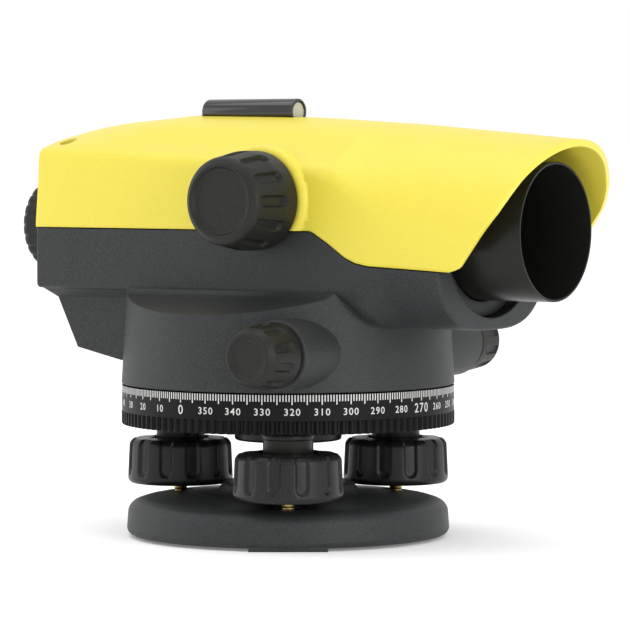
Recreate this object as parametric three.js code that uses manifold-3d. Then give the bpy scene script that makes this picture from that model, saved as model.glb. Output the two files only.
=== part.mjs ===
// Automatic level for site surveying: base plate, three foot screws, graduated circle,
// turning body with telescope, swinging compensator and clamped top cover.
// Millimetres. +Z up, +X along the line of sight, +Y to the observer's left.
// Each piece is drawn about the vertical axis (x = y = 0) with z = 0 under the feet of the base.
import * as THREE from 'three';
import { mergeVertices } from 'three/addons/utils/BufferGeometryUtils.js';
import Module from 'manifold-3d';

const wasm = await Module();
wasm.setup();

// ---------------------------------------------------------------- driving dimensions
const CENTRE_X = 4.7;           // middle of the overall length, ahead of the vertical axis
const GAP = 0.3;               // clearance between pieces that touch or press together

const PAD_THICK = 0.8;
const BASE_R = 47.3;
const BASE_EDGE_R = 46.0;
const BASE_TOP = 12.6;
const BASE_HUB_R = 20.0;
const BASE_HUB_TOP = 16.0;
const TRIPOD_THREAD_R = 7.1;   // 5/8 inch tripod thread, minor diameter

const FOOT_CIRCLE_R = 37.3;
const FOOT_ANGLES = [-54.8, 65.2, 185.2];
const FOOT_SOCKET_R = 4.2;
const FOOT_KNOB = { bottom: 13.9, top: 27.55, low: 15.75, high: 14.9, recess: 8.9, floor: 20.4 };
const FOOT_BUSH = { r: 7.2, bottom: 23.2, shoulder: 32.8, seat: 5.4, top: 38.6 };
const FOOT_THREAD_R = 3.0;

const TRIBRACH = { r: 43.9, bottom: 33.9, top: 39.0, hub: 15.8, hubBottom: 28.15 };
const CIRCLE = { r: 49.0, inner: 44.4, bottom: 33.2, top: 44.7 };

const SKIRT = { low: 49.0, high: 47.3, bottom: 45.0, top: 73.0, ceiling: 61.5, wall: 2.8 };
const AXIS_Z = 90.5;           // height of the line of sight, also the cover's seam
const BODY = { back: -70, front: 71, ledge: 18.1, wall: 2.6 };
const BARREL_R = 28.0;
const BARREL_BORE_R = 24.6;
const HOOD_TIP = 100;
const COVER_WALL = 2.5;

const DRIVE = { x: 28.6, z: 56, boss: 10.1, bossEnd: 46.3, inner: 47.1, outer: 60.3, low: 9.45, high: 8 };
const WHEEL = { r: 24.2, bottom: 52.5, top: 59.5, teeth: 48 };
const FOCUS = { x: 12, z: 99, inner: 31.6, outer: 50.6, low: 14.2, high: 11.7 };
const FOCUS_PINION_R = 1.9;

const SUNSHADE = { r: 19.65, bore: 18.9, mouth: 91.7, back: 42 };
const COVER_SCREW = { x: -64.1, y: 23 };
const SIGHT = { z: 124.6, r: 3.95, bore: 2.9, back: -29, front: 4.1 };
const EYEPIECE = { ring: 13.8, ringBack: -90.2, ringFront: -74.5, sleeve: 10.4, bore: 8.6 };
const PENDULUM = { x: -31, z: 104.5 };
const BUBBLE = { x: -38, y: 43.6, z: 92, r: 10.8, height: 11 };

// ---------------------------------------------------------------- finishes
const finish = (color, roughness, metalness = 0) =>
  new THREE.MeshStandardMaterial({ color, roughness, metalness });
const YELLOW = finish(0xf2d818, 0.45);
const GREY = finish(0x3f4347, 0.6, 0.2);
const BLACK = finish(0x161616, 0.35);
const RUBBER = finish(0x23241f, 0.75);
const KNOB_PLASTIC = finish(0x1d1e20, 0.5);
const BRASS = finish(0xb08d3e, 0.35, 0.9);
const STEEL = finish(0x9a9da1, 0.35, 0.9);
const GLASS = finish(0xcfdde0, 0.05);

// ---------------------------------------------------------------- solids
// Closed index mesh of a geometry: shared corners merged, flat slivers gone, faces outward.
function cleaned(geometry) {
  const bare = geometry.clone();
  for (const name of Object.keys(bare.attributes)) {
    if (name !== 'position') bare.deleteAttribute(name);
  }
  const merged = mergeVertices(bare, 1e-4);
  const source = merged.index.array;
  const kept = [];
  for (let i = 0; i < source.length; i += 3) {
    const [a, b, c] = [source[i], source[i + 1], source[i + 2]];
    if (a !== b && b !== c && c !== a) kept.push(a, b, c);
  }
  const at = (i) => new THREE.Vector3().fromBufferAttribute(merged.attributes.position, i);
  let volume = 0;
  for (let i = 0; i < kept.length; i += 3) {
    volume += at(kept[i]).dot(at(kept[i + 1]).cross(at(kept[i + 2])));
  }
  if (volume < 0) kept.reverse();
  return { points: new Float32Array(merged.attributes.position.array), corners: new Uint32Array(kept) };
}

function solid(geometry) {
  const { points, corners } = cleaned(geometry);
  return new wasm.Manifold(new wasm.Mesh({ numProp: 3, vertProperties: points, triVerts: corners }));
}

function geometryOf(piece) {
  const mesh = piece.getMesh();
  const geometry = new THREE.BufferGeometry();
  geometry.setAttribute('position', new THREE.BufferAttribute(mesh.vertProperties, 3));
  geometry.setIndex(new THREE.BufferAttribute(mesh.triVerts, 1));
  geometry.computeVertexNormals();
  return geometry;
}

const join = (first, ...rest) => rest.reduce((whole, piece) => whole.add(piece), first);
const cut = (first, ...rest) => rest.reduce((whole, piece) => whole.subtract(piece), first);

// Solids of revolution: profile as [radius, height] pairs that start and end on the axis, or close.
const latheY = (profile, sides = 20) =>
  new THREE.LatheGeometry(profile.map(([r, h]) => new THREE.Vector2(r, h)), sides);
const latheZ = (profile, sides) => latheY(profile, sides).rotateX(Math.PI / 2);
const latheX = (profile, sides) => latheZ(profile, sides).rotateY(Math.PI / 2);

const rod = (r, low, high) => [[0, low], [r, low], [r, high], [0, high]];
const ring = (outer, inner, low, high) =>
  [[inner, low], [outer, low], [outer, high], [inner, high], [inner, low]];

const outline = (points) => new THREE.Shape(points.map(([a, b]) => new THREE.Vector2(a, b)));
const plan = (points, low, high) =>
  new THREE.ExtrudeGeometry(outline(points), { depth: high - low, bevelEnabled: false })
    .translate(0, 0, low);
const side = (points, low, high) =>
  new THREE.ExtrudeGeometry(outline(points), { depth: high - low, bevelEnabled: false })
    .rotateX(Math.PI / 2).translate(0, high, 0);
const box = (x0, x1, y0, y1, z0, z1) =>
  new THREE.BoxGeometry(x1 - x0, y1 - y0, z1 - z0)
    .translate((x0 + x1) / 2, (y0 + y1) / 2, (z0 + z1) / 2);

// Skin through rings of the same number of points, closed by a flat end at each side.
function loft(rings) {
  const count = rings[0].length;
  const positions = rings.flat().flatMap((p) => [p.x, p.y, p.z]);
  const corners = [];
  for (let r = 0; r + 1 < rings.length; r += 1) {
    for (let i = 0; i < count; i += 1) {
      const j = (i + 1) % count;
      const [a, b, c, d] = [r * count + i, r * count + j, (r + 1) * count + i, (r + 1) * count + j];
      corners.push(a, c, b, b, c, d);
    }
  }
  const flat = rings[0].map((p) => new THREE.Vector2(p.y, p.z));
  const last = (rings.length - 1) * count;
  for (const [a, b, c] of THREE.ShapeUtils.triangulateShape(flat, [])) {
    corners.push(a, b, c);
  }
  const flatEnd = rings[rings.length - 1].map((p) => new THREE.Vector2(p.y, p.z));
  for (const [a, b, c] of THREE.ShapeUtils.triangulateShape(flatEnd, [])) {
    corners.push(last + a, last + c, last + b);
  }
  const geometry = new THREE.BufferGeometry();
  geometry.setAttribute('position', new THREE.Float32BufferAttribute(positions, 3));
  geometry.setIndex(corners);
  return geometry;
}

// Round outline with evenly spaced hollows for the fingers.
function fluted(r, flutes, depth, steps = 4) {
  const points = [];
  const width = 0.3;
  for (let i = 0; i < flutes * steps; i += 1) {
    const phase = (i % steps) / steps - 0.5;
    const hollow = Math.max(0, 1 - Math.abs(phase) / width);
    const radius = r - depth * Math.min(1, 2 * hollow);
    const angle = (i / (flutes * steps)) * 2 * Math.PI;
    points.push([radius * Math.cos(angle), radius * Math.sin(angle)]);
  }
  return points;
}

// Fluted grip along X through [radius, distance] stations; the hollows follow the outer form.
const grip = (profile, flutes, depth, steps) => solid(loft(profile.map(([r, x]) =>
  fluted(r, flutes, depth, steps).map(([y, z]) => new THREE.Vector3(x, y, z)))));

const level = new THREE.Group();
const machine = new THREE.Group();
machine.position.set(-CENTRE_X, 0, 0);
level.add(machine);

function piece(name, shape, material, parent = machine) {
  const geometry = shape instanceof THREE.BufferGeometry ? geometryOf(solid(shape)) : geometryOf(shape);
  const mesh = new THREE.Mesh(geometry, material);
  mesh.name = name;
  parent.add(mesh);
  return mesh;
}

// ---------------------------------------------------------------- base and foot screws
const footPlace = (angle) => {
  const turn = THREE.MathUtils.degToRad(angle);
  return [FOOT_CIRCLE_R * Math.cos(turn), FOOT_CIRCLE_R * Math.sin(turn)];
};

function basePlate() {
  const disc = solid(latheZ([
    [0, PAD_THICK], [BASE_R - 1, PAD_THICK], [BASE_R, PAD_THICK + 1], [BASE_EDGE_R + 0.4, BASE_TOP - 2.6],
    [BASE_EDGE_R - 1.2, BASE_TOP - 1], [BASE_EDGE_R - 3, BASE_TOP - 0.6], [BASE_HUB_R + 2, BASE_TOP],
    [BASE_HUB_R + 0.4, BASE_TOP + 1.2], [BASE_HUB_R - 0.8, BASE_HUB_TOP], [0, BASE_HUB_TOP],
  ], 40));
  const padEnd = solid(latheZ(ring(BASE_R - 0.6, 40, 0, PAD_THICK + 0.4), 48));
  const padWidth = 11.3;
  let base = disc;
  for (const angle of FOOT_ANGLES) {
    const bar = solid(box(30, 52, -padWidth, padWidth, -1, 4).rotateZ(THREE.MathUtils.degToRad(angle)));
    base = base.add(padEnd.intersect(bar));
    const [x, y] = footPlace(angle);
    base = base.subtract(solid(latheZ(rod(FOOT_SOCKET_R, 3.3, 30), 12).translate(x, y, 0)));
  }
  const well = solid(latheZ(rod(11.3, -1, 30), 20));
  const hollow = solid(latheZ(ring(31, 14.5, -1, 5), 20));
  return cut(base, well, hollow);
}
piece('base_plate', basePlate(), GREY);
piece('tripod_thread_bush', latheZ(ring(11, TRIPOD_THREAD_R, 1.2, 15.6), 20), BRASS);

function footKnob() {
  const { bottom, top, low, high, recess, floor } = FOOT_KNOB;
  const form = grip([
    [low - 0.6, bottom], [low, bottom + 0.8], [high + 0.3, top - 2.4], [high - 1.6, top],
  ], 12, 0.9);
  const bore = solid(latheX(rod(FOOT_THREAD_R + GAP, bottom - 1, top + 1), 12));
  const mouth = solid(latheX(rod(recess, floor, top + 1), 20));
  return geometryOf(cut(form, bore, mouth)).rotateY(-Math.PI / 2);
}

FOOT_ANGLES.forEach((angle, index) => {
  const number = index + 1;
  const [x, y] = footPlace(angle);
  const screw = new THREE.Group();
  screw.position.set(x, y, 0);
  screw.rotation.z = THREE.MathUtils.degToRad(angle);
  machine.add(screw);
  if (number > 1) {
    piece(`seat_washer_${number}`, latheZ(rod(3.8, 3.6, 4.4), 12), STEEL, screw);
  }
  piece(`foot_cup_${number}`, latheZ([
    [0, 4.75], [3.9, 4.75], [3.9, 8.6], [2.85, 8.6], [2.85, 5.2], [0, 5.2],
  ], 12), BRASS, screw);
  piece(`foot_spindle_${number}`, latheZ([
    [0, 5.6], [1.6, 5.8], [2.5, 6.8], [2.5, 7.8], [1.9, 9.2], [1.9, FOOT_KNOB.bottom + 0.4],
    [FOOT_THREAD_R, FOOT_KNOB.bottom + 0.4], [FOOT_THREAD_R, 36.6], [2.4, 37.2], [0, 37.2],
  ], 12), BRASS, screw);
  piece(`foot_knob_${number}`, footKnob(), KNOB_PLASTIC, screw);
  piece(`foot_bush_${number}`, latheZ([
    [FOOT_THREAD_R + GAP, FOOT_BUSH.bottom], [FOOT_BUSH.r - 0.5, FOOT_BUSH.bottom],
    [FOOT_BUSH.r, FOOT_BUSH.bottom + 0.5], [FOOT_BUSH.r, FOOT_BUSH.shoulder],
    [FOOT_BUSH.seat, FOOT_BUSH.shoulder], [FOOT_BUSH.seat, FOOT_BUSH.top],
    [FOOT_THREAD_R + GAP, FOOT_BUSH.top], [FOOT_THREAD_R + GAP, FOOT_BUSH.bottom],
  ], 16), BLACK, screw);
});

// ---------------------------------------------------------------- tribrach and circle
function tribrachBody() {
  const { r, bottom, top, hub, hubBottom } = TRIBRACH;
  let plate = solid(latheZ([
    [0, hubBottom], [hub - 1, hubBottom], [hub, hubBottom + 1], [hub, bottom], [r, bottom], [r, top],
    [13, top], [13, 44], [0, 44],
  ], 30));
  for (const angle of FOOT_ANGLES) {
    const [x, y] = footPlace(angle);
    const eye = latheZ(rod(FOOT_BUSH.seat + GAP, bottom - 6, top + 6), 16).translate(x, y, 0);
    plate = plate.subtract(solid(eye));
  }
  return plate.subtract(solid(latheZ(rod(10.3, 30.5, 50), 20)));
}
piece('tribrach_body', tribrachBody(), BLACK);
piece('axis_bush', latheZ(ring(10, 6.15, 30.9, 44.4), 24), BRASS);
piece('circle_ring', latheZ([
  [CIRCLE.inner, CIRCLE.bottom], [CIRCLE.r - 0.4, CIRCLE.bottom], [CIRCLE.r, CIRCLE.bottom + 0.4],
  [CIRCLE.r, CIRCLE.top], [CIRCLE.inner, CIRCLE.top], [CIRCLE.inner, CIRCLE.bottom],
], 40), BLACK);

// ---------------------------------------------------------------- worm wheel and friction clutch
function wormWheel() {
  const { r, bottom, top, teeth } = WHEEL;
  const rim = solid(plan(fluted(r, teeth, 0.7, 2), bottom, top));
  return cut(rim, solid(latheZ(rod(9.4, bottom - 1, top + 1), 20)));
}
piece('worm_wheel', wormWheel(), BRASS);
piece('clutch_spring', latheZ(ring(17, 9.4, 51.3, 52.2), 20), STEEL);
piece('clutch_collar', latheZ(ring(14, 9.4, 47.2, 51.0), 20), STEEL);

// The axis spindle hangs from the deck of the turning body and runs in the bush of the tribrach.
piece('axis_spindle', latheZ([
  [0, 31.4], [5.6, 31.4], [5.95, 32], [5.95, 44.9], [9.05, 44.9], [9.05, 61.2], [0, 61.2],
], 20), STEEL);

// ---------------------------------------------------------------- body and cover sections
const RIDGE = [[-70, 118.6], [-63, 120.5], [-54, 121.8], [-31, 123.7], [2, 123.2], [18.5, 122.5], [48.4, 120.7],
  [87.7, 117.4], [104, 116.0]];
const HALF_WIDTH = [[-70, 29.6], [-60, 30], [62, 29.8], [80, 30], [104, 30.6]];
const FLANK = [[-70, 22.7], [-50, 22.2], [-21, 20.6], [10, 19], [25, 18], [36, 15.5], [45, 8.5], [55, 3],
  [64, 0], [120, 0]];

function along(table, x) {
  const last = table.length - 1;
  const next = table.findIndex(([at]) => at >= x);
  const hi = next < 0 ? last : Math.max(1, next);
  const [[x0, v0], [x1, v1]] = [table[hi - 1], table[hi]];
  return v0 + ((v1 - v0) * (x - x0)) / (x1 - x0);
}

// Outline of the body at one station: vertical flanks under a low roof at the back, round at the barrel.
function station(x, inset, sides) {
  const { lerp, smoothstep } = THREE.MathUtils;
  const half = along(HALF_WIDTH, x) - inset;
  const ridge = along(RIDGE, x) - AXIS_Z - inset;
  const shoulder = Math.max(0, along(FLANK, x) - 0.6 * inset);
  const crease = 1 - 0.5 * smoothstep(x, 16, 62);
  const depth = lerp(BODY.ledge, BARREL_R, smoothstep(x, 35, 47)) - inset;
  const widest = Math.min(half, depth);
  const barrel = smoothstep(x, 33, 56);
  const corner = Math.max(0.4, lerp(1.3, widest, barrel) - 0.5 * inset);
  const fullness = 1 - 0.29 * barrel;
  const points = [];
  for (let i = 0; i < sides; i += 1) {
    const t = (i / sides) * 2 * Math.PI;
    const [c, s] = [Math.cos(t), Math.sin(t)];
    if (s >= -1e-9) {
      const rise = shoulder + (ridge - shoulder) * (1 - c * c) ** crease;
      points.push(new THREE.Vector3(x, half * c, AXIS_Z + (i === 0 || i * 2 === sides ? 0 : rise)));
    } else {
      const reach = half - corner + corner * Math.abs(c) ** fullness;
      const y = Math.abs(c) < 1e-9 ? 0 : Math.sign(c) * reach;
      points.push(new THREE.Vector3(x, y, AXIS_Z - depth + corner - corner * Math.abs(s) ** fullness));
    }
  }
  return points;
}

const SIDES = 30;

// The stations lie closer together where the flat flanks turn into the barrel.
const BODY_STATIONS = [-63, -30, 10, 30, 36, 39, 42, 45, 50, 57, 64];
function stations(from, to, inset) {
  const between = BODY_STATIONS.filter((x) => x > from + 2 && x < to - 2);
  return [from, ...between, to].map((x) => station(x, inset, SIDES));
}

// Side view of the cover's lower edge and hood, drawn `drop` below the seam.
const SEAM_END = 28.6;
function coverSide(drop, front) {
  const edge = [[-90, AXIS_Z - drop], [SEAM_END, AXIS_Z - drop], [34.6, 87.0 - drop], [40.2, 83.2 - drop],
    [43.7, 81.7 - drop], [48, 80.9 - drop]];
  return [...edge, ...front, [120, 150], [-90, 150]];
}
const HOOD_EDGE = [[74.6, 79.6], [76.4, 79.8], [78, 81], [79.7, 83.2], [84.8, 89.9], [89.9, 96.7],
  [93.4, 103.4], [96.4, 110.1], [97.6, 112.5], [HOOD_TIP - 0.1, 116.8], [104, 120]];

// ---------------------------------------------------------------- turning body
function mainBody() {
  const housing = solid(loft([
    ...stations(BODY.back - 1.4, BODY.front - 0.6, 0), station(BODY.front, 0.5, SIDES),
  ]));
  const drum = solid(latheZ([
    [0, SKIRT.bottom], [SKIRT.low, SKIRT.bottom], [SKIRT.high, SKIRT.top], [0, SKIRT.top],
  ], 40));
  const slope = [[54, 64.9], [36, 70], [32.5, 71.1], [30.8, 71.9], [29.6, 73.2]];
  const shoulders = side([
    [-58, 40], [58, 40], ...slope, ...slope.map(([y, z]) => [-y, z]).reverse(),
  ], -60, 60);
  const skirt = drum.intersect(solid(shoulders.rotateZ(Math.PI / 2)));
  const chin = solid(side([[-20, 49.9], [-43, 51.4], [-59.1, 54.8], [-66.5, 69.8], [-20, 69.8]], -25, 25));
  const neck = solid(loft([
    [[-70.6, 29.2, 73.2], [-70.6, -29.2, 73.2], [-66.5, -25, 69.6], [-66.5, 25, 69.6]],
    [[-20, 29.2, 73.2], [-20, -29.2, 73.2], [-20, -25, 69.6], [-20, 25, 69.6]],
  ].map((ring) => ring.map((corner) => new THREE.Vector3(...corner)))));
  const bossRod = latheY(rod(DRIVE.boss, -DRIVE.bossEnd, DRIVE.bossEnd), 20);
  const boss = solid(bossRod.translate(DRIVE.x, 0, DRIVE.z));
  const outer = join(housing, skirt, chin, neck, boss);

  const room = solid(loft(stations(BODY.back + BODY.wall, 52, BODY.wall)));
  const bore = solid(latheX(rod(BARREL_BORE_R, 46, 80), 26).translate(0, 0, AXIS_Z));
  const under = solid(latheZ([
    [0, 40], [SKIRT.low - SKIRT.wall, 40], [SKIRT.high - SKIRT.wall, SKIRT.ceiling], [0, SKIRT.ceiling],
  ], 40));
  const shaftWay = solid(latheY(rod(5.4, -60, 60), 12).translate(DRIVE.x, 0, DRIVE.z));
  const lid = solid(side(coverSide(GAP, [[76, 79.2], [90, 79.2]]), -60, 60));
  const eyeHole = solid(latheX(rod(EYEPIECE.sleeve + GAP, -80, -60), 20).translate(0, 0, AXIS_Z));
  const shell = cut(outer, room, bore, under, shaftWay, lid, eyeHole);

  let body = shell;
  for (const y of [-COVER_SCREW.y, COVER_SCREW.y]) {
    const post = solid(latheZ(rod(2.8, 73, 110.5), 12).translate(COVER_SCREW.x, y, 0));
    const tapped = solid(latheZ(rod(1.8, 96, 120), 10).translate(COVER_SCREW.x, y, 0));
    body = cut(body.add(post), tapped);
  }
  return body;
}
piece('main_body', mainBody(), GREY);

function topCover() {
  const outer = solid(loft(stations(BODY.back - 1.4, 104, 0)));
  const inner = solid(loft(stations(BODY.back + COVER_WALL, 108, COVER_WALL)));
  const region = solid(side(coverSide(0, HOOD_EDGE), -60, 60));
  const collar = solid(latheY(ring(15.5, 12.5, -31.2, -27.6), 20).translate(FOCUS.x, 0, FOCUS.z));
  const web = solid(latheY(rod(13, -29.6, -27.6), 20).translate(FOCUS.x, 0, FOCUS.z));
  const focusHole = solid(latheY(rod(6.3, -40, -20), 12).translate(FOCUS.x, 0, FOCUS.z));
  const sightSlot = solid(latheX(rod(SIGHT.r + GAP, SIGHT.back - GAP, SIGHT.front + 3), 12)
    .translate(0, 0, SIGHT.z));
  const eyeHole = solid(latheX(rod(EYEPIECE.sleeve + GAP, -80, -60), 20).translate(0, 0, AXIS_Z));
  let cover = join(outer.subtract(inner), collar, web).intersect(region);
  cover = cut(cover, focusHole, sightSlot, eyeHole);
  for (const y of [-COVER_SCREW.y, COVER_SCREW.y]) {
    cover = cover.subtract(solid(latheZ(rod(3, 100, 130), 12).translate(COVER_SCREW.x, y, 0)));
  }
  return cover;
}
piece('top_cover', topCover(), YELLOW);

for (const [name, y] of [['cover_screw_near', -COVER_SCREW.y], ['cover_screw_far', COVER_SCREW.y]]) {
  piece(name, latheZ([
    [0, 98], [1.45, 98], [1.45, 110.8], [2.6, 110.8], [2.6, 113], [0, 113],
  ], 12).translate(COVER_SCREW.x, y, 0), STEEL);
}

// ---------------------------------------------------------------- fine drive
const driveShaft = latheY([
  [0, -56], [2.2, -56],
  [2.2, -7], [3.9, -6.6], [3.9, -5], [3.1, -4.2], [3.9, -3.4], [3.1, -2.6], [3.9, -1.8],
  [3.1, -1], [3.9, -0.2], [3.1, 0.6], [3.9, 1.4], [3.1, 2.2], [3.9, 3], [3.1, 3.8], [3.9, 4.6], [3.9, 6.6],
  [2.2, 7], [2.2, 56], [0, 56],
], 12).translate(DRIVE.x, 0, DRIVE.z);
piece('drive_shaft', driveShaft, STEEL);

function driveKnob() {
  const { inner, outer, low, high } = DRIVE;
  const outline = [[low - 0.5, inner], [low, inner + 0.6], [high + 0.1, outer - 2], [high - 0.9, outer]];
  const form = grip(outline, 10, 0.6);
  const bore = solid(latheX(rod(2.2 + GAP, inner - 1, 56 + GAP), 12));
  const face = solid(latheX(rod(6, outer - 0.6, outer + 1), 20));
  return geometryOf(cut(form, bore, face)).rotateZ(Math.PI / 2);
}
for (const [where, turn] of [['far', 0], ['near', Math.PI]]) {
  const bush = latheY(ring(5.1, 2.5, 35, DRIVE.bossEnd - 0.3), 16);
  piece(`drive_knob_${where}`, driveKnob().rotateZ(turn).translate(DRIVE.x, 0, DRIVE.z), RUBBER);
  piece(`drive_bush_${where}`, bush.rotateZ(turn).translate(DRIVE.x, 0, DRIVE.z), BRASS);
}

// ---------------------------------------------------------------- focusing
const focusAxis = (geometry) => geometry.translate(FOCUS.x, 0, FOCUS.z);
function focusKnob() {
  const { inner, outer, low, high } = FOCUS;
  const form = grip([
    [low - 0.7, inner], [low, inner + 0.8], [low, outer - 11], [low - 1, outer - 7],
    [high + 0.6, outer - 1.4], [high - 1, outer],
  ], 12, 0.9);
  const bore = solid(latheX(rod(3.3, inner - 1, 45), 12));
  const face = solid(latheX(rod(8.9, outer - 1.35, outer + 1), 24));
  return geometryOf(cut(form, bore, face)).rotateZ(-Math.PI / 2);
}
piece('focus_knob', focusAxis(focusKnob()), RUBBER);
piece('focus_pinion_shaft', focusAxis(latheY([
  [0, -44.6], [3, -44.6], [3, -22], [FOCUS_PINION_R, -21.6], [FOCUS_PINION_R, -15.2], [0, -15.2],
], 12)), STEEL);
piece('focus_bush', focusAxis(latheY(ring(6, 3.3, -31, -23.5), 16)), BRASS);
const rackTop = FOCUS.z - FOCUS_PINION_R - 0.4;
piece('focus_rack', box(-6, 25.4, -20, -15.6, rackTop - 3, rackTop), STEEL);
const sightLine = (geometry) => geometry.translate(0, 0, AXIS_Z);
piece('focusing_cell', sightLine(latheX(ring(15.2, 12.4, 14, 30), 22)), BLACK);
piece('focusing_lens', sightLine(latheX([
  [0, 20], [12.1, 18.6], [12.1, 24.4], [0, 23],
], 20)), GLASS);

// ---------------------------------------------------------------- telescope
const sunshadeRing = ring(SUNSHADE.r, SUNSHADE.bore, SUNSHADE.back, SUNSHADE.mouth);
piece('sunshade_tube', sightLine(latheX(sunshadeRing, 36)), BLACK);
piece('objective_cell', sightLine(latheX(ring(SUNSHADE.bore - GAP, 17, 44, 54), 26)), BLACK);
piece('objective_lens', sightLine(latheX([
  [0, 45], [8, 45.5], [16.7, 47.5], [16.7, 51], [8, 53], [0, 53.6],
], 26)), GLASS);
piece('front_baffle', sightLine(latheX(ring(24.3, SUNSHADE.r + GAP, 65.3, 67.7), 26)), GREY);
piece('reticle', sightLine(latheX(rod(7, -52, -50.6), 16)), GLASS);
piece('reticle_mount', sightLine(latheX(ring(10.4, 7.3, -54, -48), 20)), BLACK);
piece('eyepiece_sleeve', sightLine(latheX(ring(EYEPIECE.sleeve, EYEPIECE.bore, -83, -57), 20)), BLACK);
piece('ocular_cell', sightLine(latheX(ring(EYEPIECE.bore - GAP, 6.6, -86.4, -64), 20)), BLACK);
piece('eye_lens', sightLine(latheX([[0, -84], [6.3, -82.6], [6.3, -79.6], [0, -79]], 16)), GLASS);

function dioptreRing() {
  const { ring: r, ringBack, ringFront, sleeve } = EYEPIECE;
  const form = grip([
    [r - 2.4, ringBack], [r - 0.8, ringBack + 0.4], [r, ringBack + 1.6], [r, ringFront],
  ], 24, 0.7, 2);
  const bore = solid(latheX(rod(sleeve + GAP, ringBack + 3, ringFront + 1), 20));
  const window = solid(latheX(rod(9.1, ringBack - 1, ringBack + 4), 20));
  return cut(form, bore, window);
}
piece('dioptre_ring', sightLine(geometryOf(dioptreRing())), RUBBER);

// ---------------------------------------------------------------- compensator
const swingBox = (reach, y0, y1, z0, z1) => box(PENDULUM.x - reach, PENDULUM.x + reach, y0, y1, z0, z1);
const pivotHole = () => solid(latheY(rod(1.5, -30, 30), 12).translate(PENDULUM.x, 0, PENDULUM.z));
function compensatorFrame() {
  const block = solid(swingBox(14, -17, 17, 75.6, 110));
  const swingRoom = solid(swingBox(11, -13, 13, 79, 120));
  const lightWay = solid(latheX(rod(11, PENDULUM.x - 20, PENDULUM.x + 20), 20).translate(0, 0, AXIS_Z));
  return cut(block, swingRoom, lightWay, pivotHole());
}
piece('compensator_frame', compensatorFrame(), GREY);
piece('pendulum_pin', latheY(rod(1.2, -16.6, 16.6), 12).translate(PENDULUM.x, 0, PENDULUM.z), STEEL);
function pendulum() {
  const arms = join(
    solid(swingBox(5, -12, -9.6, 80.5, 107)), solid(swingBox(5, 9.6, 12, 80.5, 107)),
    solid(swingBox(5, -12, 12, 80.5, 82.5)),
  );
  return cut(arms, pivotHole());
}
piece('pendulum', pendulum(), BRASS);
const prismSide = [[-7, 83], [7, 83], [7, 86], [0, 98.5], [-7, 86]].map(([x, z]) => [x + PENDULUM.x, z]);
piece('pendulum_prism', side(prismSide, -9, 9), GLASS);
piece('damper_magnet', swingBox(9, -7, 7, 79.3, 80.1), STEEL);

// ---------------------------------------------------------------- sight and circular bubble
piece('sight_tube', latheX([
  [SIGHT.bore, SIGHT.back], [SIGHT.r - 0.5, SIGHT.back], [SIGHT.r, SIGHT.back + 0.6],
  [SIGHT.r, SIGHT.front - 0.4], [SIGHT.r - 0.4, SIGHT.front], [SIGHT.bore, SIGHT.front],
  [SIGHT.bore, SIGHT.back],
], 18).translate(0, 0, SIGHT.z), BLACK);
const sightLens = (from, to) => latheX(rod(SIGHT.bore - 0.1, from, to), 12).translate(0, 0, SIGHT.z);
piece('sight_front_lens', sightLens(SIGHT.front - 2.2, SIGHT.front - 0.6), GLASS);
piece('sight_rear_lens', sightLens(SIGHT.back + 0.8, SIGHT.back + 2.2), GLASS);

function bubbleHolder() {
  const { x, y, z, r, height } = BUBBLE;
  const cup = solid(latheZ(rod(r + 2, z, z + height), 22).translate(x, y, 0));
  const arm = solid(box(x - 8, x + 8, 30.4, y, z, z + height));
  const stem = solid(box(x - 13, x + 13, 30.4, 33.4, z, z + 26));
  const well = solid(latheZ(rod(r, z + 2.4, z + height + 5), 20).translate(x, y, 0));
  return cut(join(cup, arm, stem), well);
}
piece('bubble_holder', bubbleHolder(), GREY);
piece('bubble_vial', latheZ([
  [0, BUBBLE.z + 2.8], [10.4, BUBBLE.z + 2.8], [10.4, BUBBLE.z + 10], [9.4, BUBBLE.z + 11.6],
  [0, BUBBLE.z + 12.2],
], 20).translate(BUBBLE.x, BUBBLE.y, 0), GLASS);
piece('bubble_mirror', side([
  [BUBBLE.x - 9, BUBBLE.z + 15.5], [BUBBLE.x + 8, BUBBLE.z + 24.5], [BUBBLE.x + 7.4, BUBBLE.z + 26],
  [BUBBLE.x - 9.8, BUBBLE.z + 17],
], 33.8, 51), STEEL);

export default level;
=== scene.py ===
"""Site automatic level: the finished surfaces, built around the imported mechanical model.

Shapes are drawn in millimetres about the vertical axis of the instrument (x forward along the
line of sight, y to the observer's left, z up from the feet) and moved to the frame's metres
when a piece is finished.
"""
import logging
import math
from dataclasses import dataclass, field
from enum import Enum
from typing import Callable, Iterable, Sequence

import bmesh
import bpy
from mathutils import Matrix, Vector


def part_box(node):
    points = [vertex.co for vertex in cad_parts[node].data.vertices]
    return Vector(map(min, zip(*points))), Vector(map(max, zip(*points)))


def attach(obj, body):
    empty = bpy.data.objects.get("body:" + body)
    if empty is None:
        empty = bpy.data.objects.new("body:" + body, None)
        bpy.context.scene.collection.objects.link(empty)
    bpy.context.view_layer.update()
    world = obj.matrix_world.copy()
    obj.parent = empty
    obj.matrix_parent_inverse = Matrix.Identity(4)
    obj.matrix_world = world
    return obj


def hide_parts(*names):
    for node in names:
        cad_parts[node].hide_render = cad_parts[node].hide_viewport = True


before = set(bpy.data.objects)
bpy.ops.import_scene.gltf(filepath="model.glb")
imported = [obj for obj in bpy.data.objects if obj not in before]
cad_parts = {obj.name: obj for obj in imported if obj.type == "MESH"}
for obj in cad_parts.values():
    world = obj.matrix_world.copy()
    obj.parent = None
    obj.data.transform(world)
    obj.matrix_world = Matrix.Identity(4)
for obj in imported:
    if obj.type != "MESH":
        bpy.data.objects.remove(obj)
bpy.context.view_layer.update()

MM = 0.001
TURN = 2 * math.pi
LOG = logging.getLogger("automatic_level")

Profile = Sequence[tuple[float, float]]


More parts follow.
